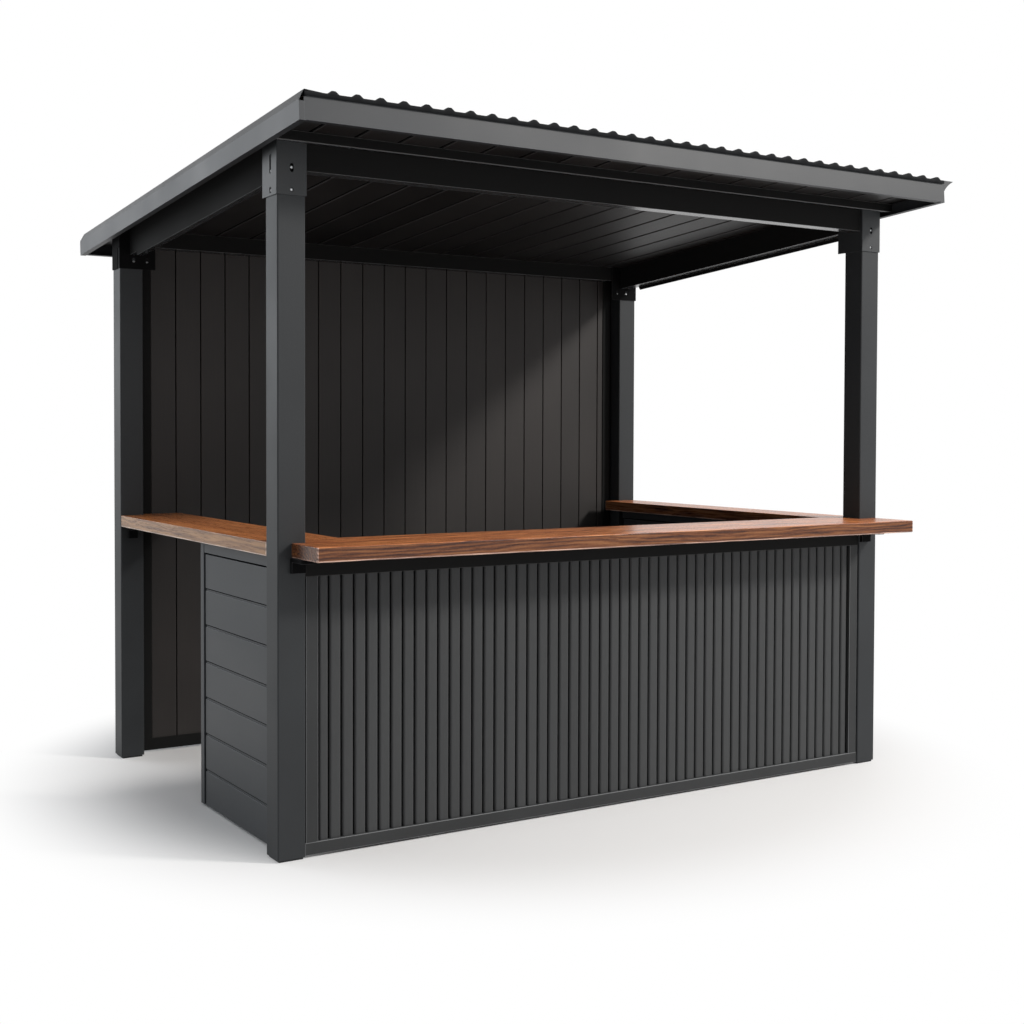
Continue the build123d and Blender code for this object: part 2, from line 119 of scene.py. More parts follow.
class PaintSettings(PropertyGroup):
    """Colours of the coated steel and boards."""

    # On the beams' undersides this coat, lighter than theirs, is a painted reflection of the floor
    frame: colour("Frame", "#2e3032", "Powder coat of the posts and of the beams' undersides")
    # This black, darker than the frame, is painted shade: under the roof, beside the back posts and under
    # the counter
    beam: colour("Beams", "#161616", "Matt coat of the beams, the ledger, the studs and the top rail")
    # Near-black painted shade: the back plates and the arms lie in shade
    shaded: colour("Shaded brackets", "#0f0f10", "Matt black coat of the back plates and the arms")
    # A little darker than the frame: partly painted shade of the eaves on the head plates
    bracket: colour("Brackets", "#2a2c2e", "Powder coat of the front head plates")
    roof: colour("Roof", "#2b2d30", "Powder coat of the fascias and trims")
    sheet: colour("Roof sheet", "#17181a", "Baked coat of the ribbed sheet")
    front: colour("Front", "#3f4041", "Coat of the fluted front")
    rails: colour("Front rails", "#353637", "Coat of the bottom rail and the stiles")
    sides: colour("Sides", "#36393c", "Coat of the side boards")
    wall: colour("Back wall", "#2d2a29", "Black-brown coat of the wall boards")
    ceiling: colour("Ceiling", "#1c1b1b", "Black coat of the ceiling boards")
    batten: colour("Battens", "#8a6f50", "Sawn softwood over the ceiling")
    zinc: colour("Bolts", "#c6c8ca", "Zinc plate on the bolts")


class TimberSettings(PropertyGroup):
    """Colours and grain of the counters."""

    light: colour("Light grain", "#a46c40", "Palest bands of the oiled timber")
    middle: colour("Middle grain", "#7d4a29", "Body of the oiled timber")
    dark: colour("Dark grain", "#46261a", "Dark late-wood bands")
    stave: length("Stave", 0.089, "Width of the glued staves")
    ring: length("Ring spacing", 0.011, "Distance between growth rings")
    # Edge and top tones paint light and shade: the top lit brighter, the edges darker, the left top's
    # edges lit from the left
    edge_tone: amount("Edge tone", 0.58, "Brightness of the edges")
    pale_edge_tone: amount("Pale edge tone", 1.5, "Brightness of the left top's edges")
    top_tone: amount("Top tone", 2.5, "Brightness of the top")
    arris: length("Arris", 0.0045, "Rounding of the counter's edges")


class BoardSettings(PropertyGroup):
    """Sizes of the boards and slats."""

    wall_pitch: length("Wall board", 0.1158, "Board and joint of the back wall")
    wall_joint: length("Wall joint", 0.0055, "Open joint between wall boards")
    wall_stud: length("Wall stud", 0.057, "Cover strip and its gap at each end of the wall")
    wall_end_gap: length("Wall end gap", 0.011, "Dark gap between a back post and the cover strip")
    backing_depth: length("Backing depth", 0.005, "Depth of the dark membrane behind the joints")
    ceiling_pitch: length("Ceiling board", 0.164, "Board and joint of the ceiling")
    ceiling_joint: length("Ceiling joint", 0.015, "Open joint between ceiling boards")
    side_pitch: length("Side board", 0.138, "Board and joint of the side panels")
    side_joint: length("Side joint", 0.0098, "Joint between the side boards")
    trim_gap: length("Trim gap", 0.006, "How far the entry trim is cut back beside the boards")
    tongue_inset: length("Tongue inset", 0.0032, "How far a side board's tongue lies behind its face")
    tongue_share: amount("Tongue share", 0.58, "Part of a side joint that the tongue fills")
    side_top_gap: length("Side top gap", 0.007, "Dark gap under the rail of a side panel")
    side_end_gap: length("Side end gap", 0.005, "Dark gap beside the entry trim")
    flute_pitch: length("Flute pitch", 0.047, "Slat and gap of the fluted front")
    flute_gap: length("Flute gap", 0.0055, "Gap between slats")
    flute_end_gap: length("Flute end gap", 0.008, "Dark gap between a stile and the slat beside it")
    stile_gap: length("Stile gap", 0.004, "Dark gap between a front post and the stile beside it")
    flute_rise: length("Flute rise", 0.009, "Height of a slat over its backing")
    easing: length("Easing", 0.0018, "Rounding of the board edges")


class RoofSettings(PropertyGroup):
    """Sizes of the ribbed sheet and its screws."""

    rib_pitch: length("Rib pitch", 0.0828, "Distance from rib to rib")
    rib_height: length("Rib height", 0.0105, "Height of a rib over the pan")
    rib_base: length("Rib base", 0.044, "Width of a rib at the pan")
    rib_crest: length("Rib crest", 0.010, "Width of the flat on a rib")
    first_rib: length("First rib", 0.116, "First rib from the left edge of the roof")
    side_margin: length("Side margin", 0.010, "Room kept free of ribs at the right edge")
    thickness: length("Sheet", 0.0015, "Thickness of the sheet")
    drip: length("Drip", 0.006, "Reach of the sheet past the fascia")
    apron: length("Apron", 0.0135, "Height of the edge turned down over the fascia")
    screw_every: IntProperty(name="Screw every", default=3, min=1, description="Pans from screw to screw")


class BoltSettings(PropertyGroup):
    """Sizes of the bolts in the head plates."""

    head: length("Head", 0.0102, "Diameter of the domed heads in front")
    back_head: length("Back head", 0.015, "Diameter of the domed heads at the back")
    taper: amount("Taper", 0.9, "Width of a head's top over its foot")
    rise: length("Rise", 0.0016, "Height of the head's upright edge")
    crown: length("Crown", 0.0014, "Height of the dome over that edge")
    socket: length("Socket", 0.0044, "Width of the socket")
    socket_depth: length("Socket depth", 0.0018, "Depth of the socket")


class StageSettings(PropertyGroup):
    """Camera and lamps."""

    eye: FloatVectorProperty(
        name="Eye",
        default=(-3.2293, -5.2605, 1.4451),
        subtype="TRANSLATION",
        description="Place of the camera",
    )
    heading: angle("Heading", 32.135, "Turn from +Y towards +X")
    dip: angle("Dip", 1.516, "Tilt below the horizon")
    roll: angle("Roll", 0.187, "Roll of the camera")
    lens: FloatProperty(name="Lens", default=49.52, min=1.0, unit="CAMERA", description="Focal length")
    shift: FloatProperty(name="Shift", default=-0.0447, description="Upward shift of the frame")
    sky: amount("Sky", 0.08, "Soft light from all round")
    key: amount("Key", 0.85, "Card brightness under the key lamp")
    over: amount("Over", 0.4, "Card brightness under the high lamp")
    left: amount("Left", 0.06, "Card brightness, left lamp")
    low: amount("Low", 0.15, "Card brightness, low right lamp")
    back: amount("Back", 0.3, "Card brightness, back left lamp")
    right: amount("Right", 0.05, "Card brightness, right lamp")


class GardenBarSettings(PropertyGroup):
    """All settings of the garden bar."""

    paint: PointerProperty(type=PaintSettings)
    timber: PointerProperty(type=TimberSettings)
    boards: PointerProperty(type=BoardSettings)
    roof: PointerProperty(type=RoofSettings)
    bolts: PointerProperty(type=BoltSettings)
    stage: PointerProperty(type=StageSettings)


# Materials


def add_node(tree, kind, settings=None, inputs=None):
    """Adds a shader node with its settings; an input is a value or the output that feeds it."""
    node = tree.nodes.new("ShaderNode" + kind)
    for name, value in (settings or {}).items():
        setattr(node, name, value)
    for name, value in (inputs or {}).items():
        if isinstance(value, NodeSocket):
            tree.links.new(value, node.inputs[name])
        else:
            node.inputs[name].default_value = value
    return node


def start_material(name, levels):
    """New material, its tree, its shader with these levels, and the object's own coordinates."""
    material = bpy.data.materials.new(name)
    material.use_nodes = True
    tree = material.node_tree
    shader = tree.nodes["Principled BSDF"]
    for socket, level in levels.items():
        shader.inputs[socket].default_value = level
    place = add_node(tree, "TexCoord").outputs["Object"]
    return material, tree, shader, place


def feed(tree, shader, sources):
    """Feeds inputs of a shader, each from the first output of a node."""
    for socket, node in sources.items():
        tree.links.new(node.outputs[0], shader.inputs[socket])


def opaque(rgb):
    """Four-part colour."""
    return (*rgb, 1.0)


def painted_arris_highlight(tree, level, shine):
    """Raises a brightness on rounded edges by shine: a painted highlight that reads as a thin line of
    light.
    """
    arris = add_node(tree, "Attribute", {"attribute_name": "arris"})
    raised = add_node(
        tree, "Math", {"operation": "MULTIPLY_ADD"}, {0: arris.outputs["Fac"], 1: shine, 2: level}
    )
    return raised.outputs[0]


def powder_coat(name, rgb, roughness, specular=0.5, grain=(1, 1, 1), shine=1.0):
    """Powder coat, sprayed dry and baked on steel or aluminium: satin, with a fine even peel.

    A grain under 1 stretches its drift along that axis; shine paints a highlight on the rounded edges.
    """
    material, tree, shader, place = start_material(name, {"Specular IOR Level": specular})
    drawn = add_node(tree, "Mapping", inputs={"Vector": place, "Scale": grain})
    # The film's thickness drifts over about 400 mm, which the eye reads as a faint cloud
    cloud = add_node(tree, "TexNoise", inputs={"Vector": drawn.outputs[0], "Scale": 2.5, "Detail": 3.0})
    # Specks of the powder are about 2 mm; they are drawn at 6 mm so that they show
    speck = add_node(tree, "TexNoise", inputs={"Vector": drawn.outputs[0], "Scale": 160.0, "Detail": 2.0})
    both = add_node(
        tree,
        "Math",
        {"operation": "MULTIPLY_ADD"},
        {0: speck.outputs["Fac"], 1: 0.35, 2: cloud.outputs["Fac"]},
    )
    level = add_node(
        tree,
        "MapRange",
        inputs={
            "Value": both.outputs[0], "From Min": 0.4, "From Max": 0.95, "To Min": 0.86, "To Max": 1.14
        },
    )
    tone = add_node(
        tree,
        "HueSaturation",
        inputs={"Value": painted_arris_highlight(tree, level.outputs[0], shine), "Color": opaque(rgb)},
    )
    gloss = add_node(
        tree,
        "MapRange",
        inputs={
            "Value": cloud.outputs["Fac"],
            "From Min": 0.3,
            "From Max": 0.7,
            "To Min": roughness - 0.05,
            "To Max": roughness + 0.05,
        },
    )
    peel = add_node(
        tree, "Bump", inputs={"Strength": 0.5, "Distance": 0.00012, "Height": speck.outputs["Fac"]}
    )
    feed(tree, shader, {"Base Color": tone, "Roughness": gloss, "Normal": peel})
    return material


def painted_boards(name, rgb, along, roughness, specular, contrast=0.22, shine=1.0, relief=0.0003):
    """Planed boards under an opaque stain: the grain shows through as streaks along an axis."""
    levels = {"Roughness": roughness, "Specular IOR Level": specular}
    material, tree, shader, place = start_material(name, levels)
    # The fibres are drawn 3 mm wide and about a metre long, coarser than the real ones
    stretch = [0.03 if axis == along else 1.0 for axis in "XYZ"]
    drawn = add_node(tree, "Mapping", inputs={"Vector": place, "Scale": stretch})
    fibre = add_node(
        tree,
        "TexNoise",
        inputs={"Vector": drawn.outputs[0], "Scale": 190.0, "Detail": 4.0, "Roughness": 0.6},
    )
    cloud = add_node(tree, "TexNoise", inputs={"Vector": place, "Scale": 3.0, "Detail": 2.0})
    board = add_node(tree, "Attribute", {"attribute_name": "board_tone"})
    soft = add_node(
        tree,
        "Math",
        {"operation": "MULTIPLY_ADD"},
        {0: fibre.outputs["Fac"], 1: 0.5, 2: cloud.outputs["Fac"]},
    )
    mixed = add_node(
        tree, "Math", {"operation": "MULTIPLY_ADD"}, {0: board.outputs["Fac"], 1: 0.45, 2: soft.outputs[0]}
    )
    level = add_node(
        tree,
        "MapRange",
        inputs={
            "Value": mixed.outputs[0],
            "From Min": 0.5,
            "From Max": 1.4,
            "To Min": 1 - contrast,
            "To Max": 1 + contrast,
        },
    )
    # The marked rounded edges get a painted highlight, raised by shine
    tone = add_node(
        tree,
        "HueSaturation",
        inputs={"Value": painted_arris_highlight(tree, level.outputs[0], shine), "Color": opaque(rgb)},
    )
    ridge = add_node(
        tree, "Bump", inputs={"Strength": 0.4, "Distance": relief, "Height": fibre.outputs["Fac"]}
    )
    feed(tree, shader, {"Base Color": tone, "Normal": ridge})
    return material


def oiled_hardwood(name, timber, turn, pale):
    """Reddish hardwood in glued staves, planed, sanded and oiled: wavy rings, dark pores, soft sheen."""
    # Painted light: brightness of the edges and tone of the top; also richness and hue of the edges, start
    # of the dark grain and sheen
    if pale:
        edge, rich, hue, top, start, sheen = timber.pale_edge_tone, 0.85, 0.514, 0.8, 0.5, 0.22
    else:
        edge, rich, hue, top, start, sheen = timber.edge_tone, 1.0, 0.498, 1.0, 0.82, 0.36
    levels = {"IOR": 1.47, "Specular IOR Level": sheen}
    material, tree, shader, place = start_material(name, levels)
    laid = add_node(tree, "Mapping", inputs={"Vector": place, "Rotation": (0, 0, turn)})
    split = add_node(tree, "SeparateXYZ", inputs={0: laid.outputs[0]})
    # Each stave comes from another part of the log, so its rings start elsewhere
    count = add_node(tree, "Math", {"operation": "DIVIDE"}, {0: split.outputs["Y"], 1: timber.stave})
    number = add_node(tree, "Math", {"operation": "FLOOR"}, {0: count.outputs[0]})
    pick = add_node(tree, "TexWhiteNoise", {"noise_dimensions": "1D"}, {"W": number.outputs[0]})
    jump = add_node(
        tree, "VectorMath", {"operation": "MULTIPLY"}, {0: pick.outputs["Color"], 1: (3.0, 0.04, 0.04)}
    )
    log = add_node(tree, "VectorMath", {"operation": "ADD"}, {0: laid.outputs[0], 1: jump.outputs[0]})
    # Rings wander slowly along the length, and the log's heart lies well below the board
    wander = add_node(tree, "Mapping", inputs={"Vector": log.outputs[0], "Scale": (1.3, 9.0, 9.0)})
    bend = add_node(
        tree,
        "TexNoise",
        inputs={"Vector": wander.outputs[0], "Scale": 1.0, "Detail": 3.0, "Roughness": 0.55},
    )
    push = add_node(
        tree,
        "VectorMath",
        {"operation": "MULTIPLY_ADD"},
        {0: bend.outputs["Color"], 1: (0.0, 0.06, 0.06), 2: log.outputs[0]},
    )
    heart = add_node(tree, "Mapping", inputs={"Vector": push.outputs[0], "Location": (0, 0.9, -0.85)})
    rings = add_node(
        tree,
        "TexWave",
        {"wave_type": "RINGS", "rings_direction": "X", "wave_profile": "SIN"},
        {
            "Vector": heart.outputs[0],
            "Scale": 2 * math.pi / (20 * timber.ring),
            "Distortion": 1.2,
            "Detail": 2.0,
            "Detail Scale": 6.0,
        },
    )
    # Fibres are drawn 6 mm wide and 150 mm long, coarse enough to show
    strand = add_node(tree, "Mapping", inputs={"Vector": push.outputs[0], "Scale": (0.04, 1.0, 1.0)})
    fibre = add_node(
        tree,
        "TexNoise",
        inputs={"Vector": strand.outputs[0], "Scale": 170.0, "Detail": 3.0, "Roughness": 0.65},
    )
    streak = add_node(tree, "TexNoise", inputs={"Vector": strand.outputs[0], "Scale": 60.0, "Detail": 2.0})
    soft = add_node(
        tree,
        "Math",
        {"operation": "MULTIPLY_ADD"},
        {0: rings.outputs["Fac"], 1: 0.34, 2: fibre.outputs["Fac"]},
    )
    grain = add_node(
        tree, "Math", {"operation": "MULTIPLY_ADD"}, {0: streak.outputs["Fac"], 1: 0.9, 2: soft.outputs[0]}
    )
    spread = add_node(
        tree, "MapRange", inputs={"Value": grain.outputs[0], "From Min": start, "From Max": 1.42}
    )
    ramp = add_node(tree, "ValToRGB", inputs={0: spread.outputs[0]})
    stops = ramp.color_ramp.elements
    stops[0].color = opaque(timber.dark)
    stops[1].color = opaque(timber.light)
    stops.new(0.5).color = opaque(timber.middle)
    tone = add_node(
        tree, "MapRange", inputs={"Value": pick.outputs["Value"], "To Min": 0.86, "To Max": 1.12}
    )
    # Painted light and shade: the top is painted lighter and the edges darker, and richness and hue turn
    # with the slope too
    face = add_node(tree, "NewGeometry")
    slope = add_node(tree, "SeparateXYZ", inputs={0: face.outputs["True Normal"]})
    slope_light, depth, slope_hue = (
        add_node(
            tree,
            "MapRange",
            inputs={
                "Value": slope.outputs["Z"],
                "From Min": 0.3,
                "From Max": 0.9,
                "To Min": at_edge,
                "To Max": at_top,
            },
        )
        for at_edge, at_top in ((edge, timber.top_tone * top), (rich, 1.0), (hue, 0.497))
    )
    share = add_node(tree, "Math", {"operation": "MULTIPLY"}, {0: tone.outputs[0], 1: slope_light.outputs[0]})
    # The rounded arrises get a painted highlight: lighter and less rich
    stained = add_node(
        tree,
        "HueSaturation",
        inputs={
            "Hue": slope_hue.outputs[0],
            "Saturation": painted_arris_highlight(tree, depth.outputs[0], -0.45),
            "Value": painted_arris_highlight(tree, share.outputs[0], 1.5),
            "Color": ramp.outputs[0],
        },
    )
    pores = add_node(
        tree, "Bump", inputs={"Strength": 0.35, "Distance": 0.0003, "Height": grain.outputs[0]}
    )
    gloss = add_node(
        tree,
        "MapRange",
        inputs={
            "Value": fibre.outputs["Fac"], "From Min": 0.3, "From Max": 0.7, "To Min": 0.24, "To Max": 0.34
        },
    )
    feed(tree, shader, {"Base Color": stained, "Roughness": gloss, "Normal": pores})
    return material


def dark_membrane(name):
    """Black spun membrane stretched behind the boards: the dark that shows in their joints."""
    levels = {"Roughness": 0.95, "Specular IOR Level": 0.05}
    material, tree, shader, place = start_material(name, levels)
    # Its threads are finer than half a millimetre; the felt is drawn at 4 mm
    felt = add_node(tree, "TexNoise", inputs={"Vector": place, "Scale": 250.0, "Detail": 2.0})
    ramp = add_node(tree, "ValToRGB", inputs={0: felt.outputs["Fac"]})
    ramp.color_ramp.elements[0].color = (0.0008, 0.0008, 0.0008, 1)
    ramp.color_ramp.elements[1].color = (0.003, 0.003, 0.003, 1)
    feed(tree, shader, {"Base Color": ramp})
    return material


def zinc_plate(name, rgb):
    """Zinc-plated steel, cold formed and passivated: bright, with a slightly blotched haze."""
    material, tree, shader, place = start_material(name, {"Metallic": 1.0})
    # Crystals of the plating are under a millimetre; the haze is drawn at 3 mm
    haze = add_node(tree, "TexNoise", inputs={"Vector": place, "Scale": 330.0, "Detail": 2.0})
    gloss = add_node(
        tree, "MapRange", inputs={"Value": haze.outputs["Fac"], "To Min": 0.25, "To Max": 0.5}
    )
    level = add_node(tree, "MapRange", inputs={"Value": haze.outputs["Fac"], "To Min": 0.8, "To Max": 1.1})
    tone = add_node(tree, "HueSaturation", inputs={"Value": level.outputs[0], "Color": opaque(rgb)})
    feed(tree, shader, {"Base Color": tone, "Roughness": gloss})
    return material


# Shapes


def add_block(shape, low, high):
    """Square block between two corners; returns its vertices."""
    low, high = Vector(low), Vector(high)
    place = Matrix.Translation((low + high) / 2) @ Matrix.Diagonal((*(high - low), 1))
    return bmesh.ops.create_cube(shape, size=1, matrix=place)["verts"]


def edges_along(verts, axis):
    """Edges of these vertices that run along an axis, 0 to 2."""
    found = {e for v in verts for e in v.link_edges}
    return [e for e in found if abs((e.verts[1].co - e.verts[0].co).normalized()[axis]) > 0.99]


def ease(shape, edges, width, segments=2, marked=True):
    """Rounds these edges and marks the new faces, where the materials paint a highlight."""
    layer = shape.faces.layers.float.get("arris") or shape.faces.layers.float.new("arris")
    made = bmesh.ops.bevel(
        shape,
        geom=edges,
        offset=width,
        offset_type="OFFSET",
        segments=segments,
        profile=0.5,
        affect="EDGES",
        clamp_overlap=True,
        material=-1,
    )
    for face in made["faces"]:
        face[layer] = 1.0 if marked else 0.0


def board_tones(shape, verts, number):
    """Marks a board's faces with a tone of its own, from 0 to 1, that its number fixes."""
    layer = shape.faces.layers.float.get("board_tone") or shape.faces.layers.float.new("board_tone")
    tone = (math.sin(number * 12.9898 + 4.1) * 43758.5453) % 1.0
    for face in {f for v in verts for f in v.link_faces}:
        face[layer] = tone


def add_board(shape, low, high, along, easing, number=None):
    """Block with its long edges rounded; a number gives it a tone of its own."""
    verts = add_block(shape, low, high)
    if number is not None:
        board_tones(shape, verts, number)
    ease(shape, edges_along(verts, along), easing)


def finish_piece(name, shape, material, nodes=(), smooth=False):
    """Turns a bmesh into a piece of the bar that rides with it and stands for some nodes."""
    mesh = bpy.data.meshes.new(name)
    shape.to_mesh(mesh)
    shape.free()
    mesh.materials.append(material)
    piece = bpy.data.objects.new(name, mesh)
    bpy.context.scene.collection.objects.link(piece)
    if smooth:
        mesh.shade_smooth()
        mesh.set_sharp_from_angle(angle=SHARP_ANGLE)
        weighted = piece.modifiers.new("flat_faces", "WEIGHTED_NORMAL")
        weighted.keep_sharp = True
    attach(piece, "root")
    if nodes:
        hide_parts(*nodes)
    return piece


def add_membrane(name, low, high, material, lay=Matrix()):
    """Black membrane behind some boards, between two corners and laid like them."""
    shape = bmesh.new()
    add_block(shape, low, high)
    shape.transform(lay)
    finish_piece(name, shape, material)


def joined_copy(node):
    """Copy of a node's shape with its loose triangles joined into whole faces."""
    shape = bmesh.new()
    shape.from_mesh(frame["nodes"][node].data)
    bmesh.ops.remove_doubles(shape, verts=shape.verts, dist=WELD)
    bmesh.ops.dissolve_limit(shape, angle_limit=math.radians(0.5), verts=shape.verts, edges=shape.edges)
    return shape


def eased_copy(name, node, material, width, segments=2):
    """Copy of a node with its sharp arrises rounded, in its place."""
    shape = joined_copy(node)
    sharp = [e for e in shape.edges if len(e.link_faces) == 2 and e.calc_face_angle() > SHARP_ANGLE]
    ease(shape, sharp, width, segments)
    return finish_piece(name, shape, material, [node], smooth=True)


def coat_node(node, material):
    """Gives a node that stays a better material."""
    mesh = frame["nodes"][node].data
    mesh.materials.clear()
    mesh.materials.append(material)


def board_spans(start, end, first, pitch, joint):
    """Start and end of each board between two ends, with joints at every pitch from the first."""
    edges = [start]
    at = first
    while at < end - pitch / 4:
        edges.append(at)
        at += pitch
    edges.append(end)
    spans = []
    for i in range(len(edges) - 1):
        left = edges[i] + (joint / 2 if i > 0 else 0)
        right = edges[i + 1] - (joint / 2 if i < len(edges) - 2 else 0)
        spans.append((left, right))
    return spans


# Operators


class GARDENBAR_OT_posts(Operator):
    """Coats the four posts and rounds the arrises of the beams and the ledger"""

    bl_idname = "garden_bar.posts"
    bl_label = "Posts and beams"

    easing = 0.003

    def execute(self, context):
        paint = context.scene.garden_bar.paint
        coat = powder_coat("powder_coated_steel_frame", paint.frame, 0.5, specular=0.2)
        for node in ("post_front_left", "post_front_right", "post_back_left", "post_back_right"):
            coat_node(node, coat)
        # The beams and the ledger get a black darker than the frame: painted shade of the roof over them
        matt = powder_coat("matt_black_beam_painted_shade", paint.beam, 0.8, specular=0.1, shine=10.0)
        satin = powder_coat("satin_underside_painted_reflection", paint.frame, 0.25, specular=0.5, shine=3.0)
        for node in ("front_beam", "back_beam", "left_beam", "right_beam", "eaves_ledger"):
            beam = eased_copy("steel_" + node, node, matt, self.easing)
            beam.data.materials.append(satin)
            # The sides that face the floor get the frame's lighter satin coat: a pale strip of painted
            # reflection of the floor, over their own sheen
            for face in beam.data.polygons:
                if face.normal.z < -0.5:
                    face.material_index = 1
        return {"FINISHED"}


class GARDENBAR_OT_plates(Operator):
    """Rounds the folded head plates and the brackets under the counters"""

    bl_idname = "garden_bar.plates"
    bl_label = "Plates and brackets"

    plate_easing = 0.0012
    arm_easing = 0.001
    pad_inset = 0.008
    pad_height = 0.12
    pad_reach = 0.075
    pad_thickness = 0.0004

    def execute(self, context):
        paint = context.scene.garden_bar.paint
        coat = powder_coat("powder_coated_plate", paint.bracket, 0.48, specular=0.3, shine=5.0)
        # The back plates and the arms get a near-black: painted shade
        matt = powder_coat("matt_bracket_painted_shade", paint.shaded, 0.8, specular=0.05, shine=8.0)
        membrane = dark_membrane("black_shade_sheet")
        for end, inward in (("left", 1), ("right", -1)):
            for node, finish in (("plate_front_" + end, coat), ("plate_back_" + end, matt)):
                eased_copy("folded_" + node, node, finish, self.plate_easing)
            self.add_shade_sheet(end, inward, membrane)
        for node in ("front_counter_arm_left", "front_counter_arm_right", "side_counter_arm"):
            eased_copy("steel_" + node, node, matt, self.arm_easing)
        return {"FINISHED"}

    def add_shade_sheet(self, end, inward, membrane):
        """Thin black sheet between a front plate and its post: painted shade in the holes and slots."""
        low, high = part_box("plate_front_" + end)
        post_low, post_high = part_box("post_front_" + end)
        outer = post_low.x if inward > 0 else post_high.x
        near = outer + inward * self.pad_inset
        far = outer + inward * (post_high.x - post_low.x - self.pad_inset)
        proud = outer - inward * self.pad_thickness
        front, side = post_low.y - self.pad_thickness, post_low.y + self.pad_inset
        base, top = low.z + self.pad_inset, low.z + self.pad_height
        back = low.y + self.pad_reach
        shape = bmesh.new()
        add_block(shape, (min(near, far), front, base), (max(near, far), post_low.y, top))
        add_block(shape, (min(proud, outer), side, base), (max(proud, outer), back, top))
        finish_piece("front_" + end + "_shade_sheet", shape, membrane)


def add_bolt(shape, place, facing, sizes, head):
    """Domed bolt head with a socket, its seat at a place, facing along a direction."""
    turn = Vector(facing).to_track_quat("Z", "Y").to_matrix().to_4x4()
    seat = Matrix.Translation(place) @ turn
    crest = head / 2 * sizes.taper
    verts = bmesh.ops.create_cone(
        shape,
        cap_ends=True,
        segments=24,
        radius1=head / 2,
        radius2=crest,
        depth=sizes.rise,
        matrix=seat @ Matrix.Translation((0, 0, sizes.rise / 2)),
    )["verts"]
    faces = {f for v in verts for f in v.link_faces}
    top = max(faces, key=lambda face: face.calc_center_median().dot(Vector(facing)))
    bmesh.ops.inset_region(shape, faces=[top], thickness=crest - sizes.socket / 2)
    bmesh.ops.translate(shape, verts=top.verts, vec=Vector(facing) * sizes.crown)
    socket = bmesh.ops.extrude_discrete_faces(shape, faces=[top])["faces"][0]
    bmesh.ops.translate(shape, verts=socket.verts, vec=Vector(facing) * -sizes.socket_depth)


class GARDENBAR_OT_bolts(Operator):
    """Domed bolts that sit on the posts, inside the slots and holes of the head plates"""

    bl_idname = "garden_bar.bolts"
    bl_label = "Bolts"

    hole_rise = 0.018
    slot_rise = 0.0915
    side_slot_rise = 0.081
    side_setback = 0.054
    back_rise = 0.029
    back_first = 0.064
    back_second = 0.1223

    def execute(self, context):
        sizes = context.scene.garden_bar.bolts
        zinc = zinc_plate("zinc_plated_bolt", context.scene.garden_bar.paint.zinc)
        for end, side in (("left", -1), ("right", 1)):
            shape = bmesh.new()
            low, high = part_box("plate_front_" + end)
            post_low, post_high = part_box("post_front_" + end)
            outer = post_low.x if side < 0 else post_high.x
            middle = (post_low.x + post_high.x) / 2
            for rise in (self.hole_rise, self.slot_rise):
                add_bolt(shape, (middle, post_low.y, low.z + rise), (0, -1, 0), sizes, sizes.head)
            for rise in (self.hole_rise, self.side_slot_rise):
                place = (outer, low.y + self.side_setback, low.z + rise)
                add_bolt(shape, place, (side, 0, 0), sizes, sizes.head)
            finish_piece("front_" + end + "_bolts", shape, zinc, smooth=True)
            shape = bmesh.new()
            low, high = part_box("plate_back_" + end)
            outer = low.x if side < 0 else high.x
            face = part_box("post_back_" + end)[0].y
            for setback in (self.back_first, self.back_second):
                place = (outer - side * setback, face, low.z + self.back_rise)
                add_bolt(shape, place, (0, -1, 0), sizes, sizes.back_head)
            finish_piece("back_" + end + "_bolts", shape, zinc, smooth=True)
        return {"FINISHED"}


